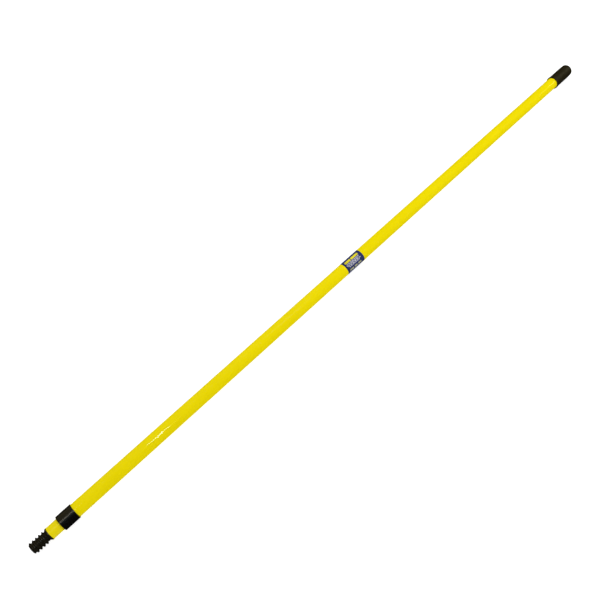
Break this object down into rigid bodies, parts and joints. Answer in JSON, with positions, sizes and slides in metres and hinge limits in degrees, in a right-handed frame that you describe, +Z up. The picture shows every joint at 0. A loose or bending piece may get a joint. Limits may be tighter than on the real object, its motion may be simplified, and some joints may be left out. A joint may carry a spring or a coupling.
{
  "type": "roller extension pole",
  "caption": "Telescopic steel extension pole for a paint roller, with a threaded tip, a collar, an end cap and an internal twist lock.",
  "frame": {"origin": "on the pole's axis, at the rear end of the tip's thread, where a roller handle's socket comes to rest", "axes": "+X along the pole from the threaded tip to the end cap, +Z up with the pole lying down"},
  "size_m": [1.3137, 0.0256, 0.0256],
  "materials": {
    "yellow_coat": "glossy powder coat",
    "collar_black": "glossy",
    "tip_black": "satin",
    "cap_black": "matte",
    "moulded_black": "satin",
    "label_film": "glossy printed film",
    "zinc_steel": "zinc plated",
    "natural_nylon": "satin",
    "ring_rubber": "matte"
  },
  "bodies": {
    "outer_section": {"outer_tube": "yellow_coat", "guide_bush": "moulded_black", "collar": "collar_black", "end_cap": "cap_black", "label_band": "label_film"},
    "lock_sleeve": {"expander_sleeve": "natural_nylon", "drag_ring": "ring_rubber"},
    "inner_section": {"inner_tube": "yellow_coat", "threaded_tip": "tip_black", "lock_plug": "moulded_black", "lock_bolt": "zinc_steel", "stop_washer": "zinc_steel", "stop_nut": "zinc_steel"},
    "lock_wedge": {"wedge_nut": "natural_nylon"}
  },
  "joints": [
    {"name": "extend", "type": "slide", "parent": "outer_section", "child": "lock_sleeve", "axis": [-1, 0, 0], "range_m": [0, 1.187]},
    {"name": "twist", "type": "hinge", "parent": "lock_sleeve", "child": "inner_section", "pos_m": [0, 0, 0], "axis": [1, 0, 0], "range_deg": [0, 270]},
    {"name": "wedge_slide", "type": "slide", "parent": "lock_sleeve", "child": "lock_wedge", "axis": [-1, 0, 0], "range_m": [0, 0.00225]}
  ],
  "couplings": [
    {"joint": "wedge_slide", "follows": "twist", "m_per_rad": 0.00047746}
  ]
}
